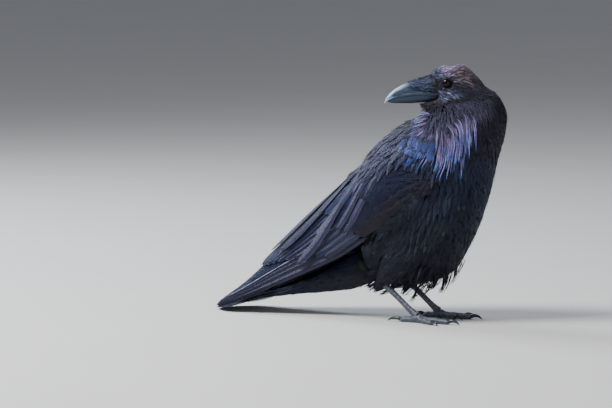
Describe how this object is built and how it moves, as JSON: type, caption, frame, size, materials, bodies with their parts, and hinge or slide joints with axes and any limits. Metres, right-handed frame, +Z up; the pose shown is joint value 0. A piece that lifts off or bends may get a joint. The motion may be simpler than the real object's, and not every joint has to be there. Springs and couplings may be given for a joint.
{
  "type": "raven figure",
  "caption": "Life-size still raven standing with folded wings, its head turned back over its right shoulder and its tail reaching down to the floor.",
  "frame": {"origin": "on the floor plane, below the middle of the bounding box", "axes": "+X the way the trunk faces, +Y the bird's own left, +Z up"},
  "size_m": [0.4139, 0.1416, 0.3333],
  "materials": {
    "plumage": "black contour feathers with a blue and violet gloss",
    "flight": "smooth blue-black flight feathers, satin",
    "horn": "slate black horn, satin to glossy",
    "scale": "black scaled skin, satin",
    "eye": "wet, very dark brown"
  },
  "bodies": {
    "root": {"trunk": "plumage", "neck": "plumage", "head": "plumage", "bill_upper": "horn", "bill_lower": "horn", "tail": "flight", "eye_right": "eye", "wing_right": "plumage", "secondaries_right": "flight", "primaries_right": "flight", "thigh_right": "plumage", "shank_right": "scale", "foot_right": "scale", "toe_right_inner": "scale", "claw_right_inner": "horn", "toe_right_middle": "scale", "claw_right_middle": "horn", "toe_right_outer": "scale", "claw_right_outer": "horn", "toe_right_hind": "scale", "claw_right_hind": "horn", "eye_left": "eye", "wing_left": "plumage", "secondaries_left": "flight", "primaries_left": "flight", "thigh_left": "plumage", "shank_left": "scale", "foot_left": "scale", "toe_left_inner": "scale", "claw_left_inner": "horn", "toe_left_middle": "scale", "claw_left_middle": "horn", "toe_left_outer": "scale", "claw_left_outer": "horn", "toe_left_hind": "scale", "claw_left_hind": "horn"}
  },
  "joints": []
}
